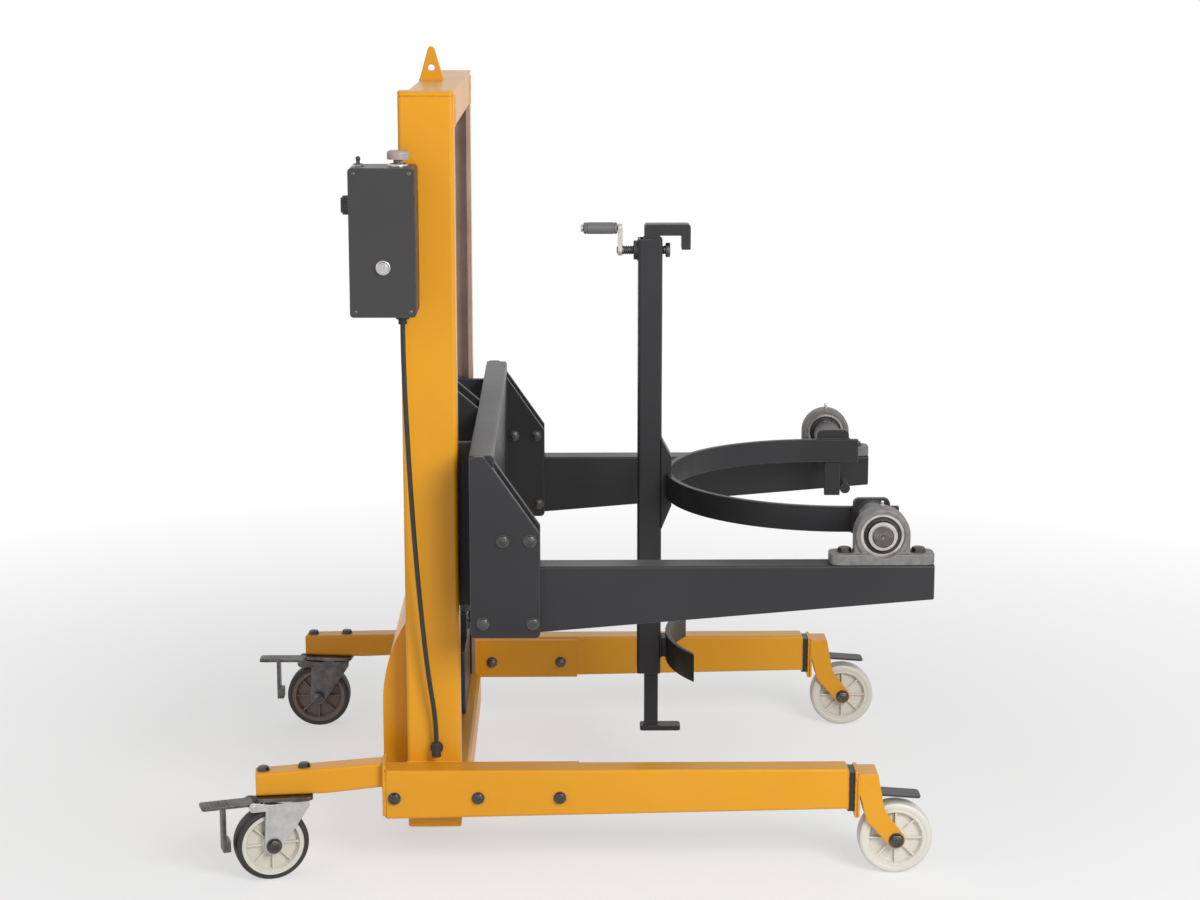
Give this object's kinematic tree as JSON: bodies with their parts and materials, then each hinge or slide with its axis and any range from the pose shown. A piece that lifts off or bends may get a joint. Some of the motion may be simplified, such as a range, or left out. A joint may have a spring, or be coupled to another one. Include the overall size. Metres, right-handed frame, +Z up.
{
  "type": "drum carrier",
  "caption": "Wheeled lifter with straddle legs, a mast with a powered lift carriage, and a tilting half-hoop cradle with a screw clamp that grips and tips a cylindrical container.",
  "frame": {"origin": "on the floor, under the middle of the machine's bounding box", "axes": "+X towards the cradle end, +Y to the machine's left, +Z up"},
  "size_m": [1.2325, 0.981, 1.367],
  "materials": {
    "frame_paint": "gloss orange-yellow paint",
    "black_paint": "satin charcoal paint",
    "bolt_steel": "dark oiled steel",
    "caster_steel": "satin black paint",
    "nylon": "off-white nylon",
    "grey_wheel": "grey-brown polyurethane",
    "cast_grey": "grey painted casting",
    "bright_steel": "turned steel",
    "ram_chrome": "hard chrome",
    "black_plastic": "moulded black plastic",
    "grey_plastic": "moulded grey plastic",
    "switch_metal": "plated metal",
    "black_rubber": "black rubber sheath"
  },
  "bodies": {
    "base": {"leg_left": "frame_paint", "leg_right": "frame_paint", "column_left": "frame_paint", "column_right": "frame_paint", "front_fork_left": "frame_paint", "front_fork_right": "frame_paint", "foot_plates": "frame_paint", "outriggers": "frame_paint", "fork_plates": "black_paint", "caster_plates": "caster_steel", "base_bolts": "bolt_steel", "cross_members": "frame_paint", "top_beam": "frame_paint", "lifting_lug": "frame_paint", "rear_cover": "frame_paint", "cylinder_barrel": "black_paint", "gland_nut": "bright_steel", "battery": "black_plastic", "oil_tank": "black_paint", "pump_unit": "black_paint", "pressure_pipe": "bright_steel", "box_shell": "black_plastic", "box_cover": "black_plastic", "cable_fittings": "black_rubber", "control_cable": "black_rubber"},
    "lift": {"ram": "ram_chrome", "carriage": "black_paint", "roller_plates": "black_paint", "ram_bracket": "black_paint", "arm_brackets": "black_paint", "carriage_bolts": "bolt_steel", "arm_left": "black_paint", "arm_right": "black_paint", "pillow_block_left": "cast_grey", "pillow_block_right": "cast_grey"},
    "upper_rollers": {"upper_rollers": "bright_steel"},
    "lower_rollers": {"lower_rollers": "bright_steel"},
    "cradle": {"trunnion_shafts": "bright_steel", "hoop": "black_paint", "saddles": "black_paint", "spine": "black_paint", "hook": "black_paint"},
    "clamp_pad": {"clamp_pad": "bright_steel"},
    "clamp_screw": {"clamp_screw": "bright_steel", "crank": "bright_steel"},
    "grip": {"grip": "grey_plastic"},
    "foot_bar": {"foot_bar": "black_paint"},
    "foot_lock_knob": {"foot_lock_knob": "black_plastic"},
    "front_wheel_left": {"front_wheel_left": "nylon"},
    "front_wheel_right": {"front_wheel_right": "nylon"},
    "caster_left": {"caster_fork_left": "caster_steel"},
    "caster_right": {"caster_fork_right": "caster_steel"},
    "caster_wheel_left": {"caster_wheel_left": "grey_wheel"},
    "caster_wheel_right": {"caster_wheel_right": "nylon"},
    "brake_pedal_left": {"brake_pedal_left": "caster_steel"},
    "brake_pedal_right": {"brake_pedal_right": "caster_steel"},
    "push_button": {"push_button": "grey_plastic"},
    "toggle_lever": {"toggle_lever": "black_plastic"},
    "key_switch": {"key_switch": "switch_metal"},
    "side_knob": {"side_knob": "black_plastic"}
  },
  "joints": [
    {"name": "lift_travel", "type": "slide", "parent": "base", "child": "lift", "axis": [0, 0, 1], "range_m": [-0.11, 0.34]},
    {"name": "upper_roller_turn", "type": "hinge", "parent": "lift", "child": "upper_rollers", "pos_m": [-0.226, 0, 0.69], "axis": [0, 1, 0], "range_deg": [-175, 536]},
    {"name": "lower_roller_turn", "type": "hinge", "parent": "lift", "child": "lower_rollers", "pos_m": [-0.226, 0, 0.47], "axis": [0, 1, 0], "range_deg": [-536, 175]},
    {"name": "cradle_tilt", "type": "hinge", "parent": "lift", "child": "cradle", "pos_m": [0.515, 0, 0.5946], "axis": [0, 1, 0], "range_deg": [0, 135]},
    {"name": "clamp_travel", "type": "slide", "parent": "cradle", "child": "clamp_pad", "axis": [1, 0, 0], "range_m": [-0.0051, 0.0141]},
    {"name": "clamp_turn", "type": "hinge", "parent": "clamp_pad", "child": "clamp_screw", "pos_m": [0.1, 0, 1.009], "axis": [1, 0, 0], "range_deg": [-450, 1260]},
    {"name": "grip_turn", "type": "hinge", "parent": "clamp_screw", "child": "grip", "pos_m": [0.06, 0, 1.048], "axis": [1, 0, 0], "continuous": true},
    {"name": "foot_bar_travel", "type": "slide", "parent": "cradle", "child": "foot_bar", "axis": [0, 0, 1], "range_m": [0, 0.08]},
    {"name": "foot_lock_turn", "type": "hinge", "parent": "cradle", "child": "foot_lock_knob", "pos_m": [0.154, 0.043, 0.262], "axis": [0, 1, 0], "range_deg": [-180, 180]},
    {"name": "front_wheel_left_roll", "type": "hinge", "parent": "base", "child": "front_wheel_left", "pos_m": [0.553, 0.411, 0.0625], "axis": [0, 1, 0], "continuous": true},
    {"name": "front_wheel_right_roll", "type": "hinge", "parent": "base", "child": "front_wheel_right", "pos_m": [0.553, -0.411, 0.0625], "axis": [0, 1, 0], "continuous": true},
    {"name": "caster_left_swivel", "type": "hinge", "parent": "base", "child": "caster_left", "pos_m": [-0.475, 0.41938, 0.138], "axis": [0, 0, 1], "continuous": true},
    {"name": "caster_right_swivel", "type": "hinge", "parent": "base", "child": "caster_right", "pos_m": [-0.475, -0.41938, 0.138], "axis": [0, 0, 1], "continuous": true},
    {"name": "caster_left_roll", "type": "hinge", "parent": "caster_left", "child": "caster_wheel_left", "pos_m": [-0.5, 0.41938, 0.0625], "axis": [0, 1, 0], "continuous": true},
    {"name": "caster_right_roll", "type": "hinge", "parent": "caster_right", "child": "caster_wheel_right", "pos_m": [-0.49878, -0.42711, 0.0625], "axis": [-0.309, 0.9511, 0], "continuous": true},
    {"name": "brake_left_press", "type": "hinge", "parent": "caster_left", "child": "brake_pedal_left", "pos_m": [-0.532, 0.41938, 0.132], "axis": [0, 1, 0], "range_deg": [-5.4, 0]},
    {"name": "brake_right_press", "type": "hinge", "parent": "caster_right", "child": "brake_pedal_right", "pos_m": [-0.52921, -0.437, 0.132], "axis": [-0.309, 0.9511, 0], "range_deg": [-5.4, 0]},
    {"name": "button_press", "type": "slide", "parent": "base", "child": "push_button", "axis": [0, 0, -1], "range_m": [0, 0.004], "stiffness_N_per_m": 600, "springref_m": -0.002},
    {"name": "toggle_rock", "type": "hinge", "parent": "base", "child": "toggle_lever", "pos_m": [-0.331, -0.428, 1.195], "axis": [0, 1, 0], "range_deg": [-18, 18], "stiffness_Nm_per_rad": 0.05},
    {"name": "key_turn", "type": "hinge", "parent": "base", "child": "key_switch", "pos_m": [-0.291, -0.47, 1.036], "axis": [0, 1, 0], "range_deg": [0, 60]},
    {"name": "side_knob_turn", "type": "hinge", "parent": "base", "child": "side_knob", "pos_m": [-0.35, -0.428, 1.132], "axis": [1, 0, 0], "range_deg": [-135, 135]}
  ],
  "couplings": [
    {"joint": "upper_roller_turn", "follows": "lift_travel", "rad_per_m": 27.397},
    {"joint": "lower_roller_turn", "follows": "lift_travel", "rad_per_m": -27.397},
    {"joint": "clamp_travel", "follows": "clamp_turn", "m_per_rad": 0.00063662}
  ]
}
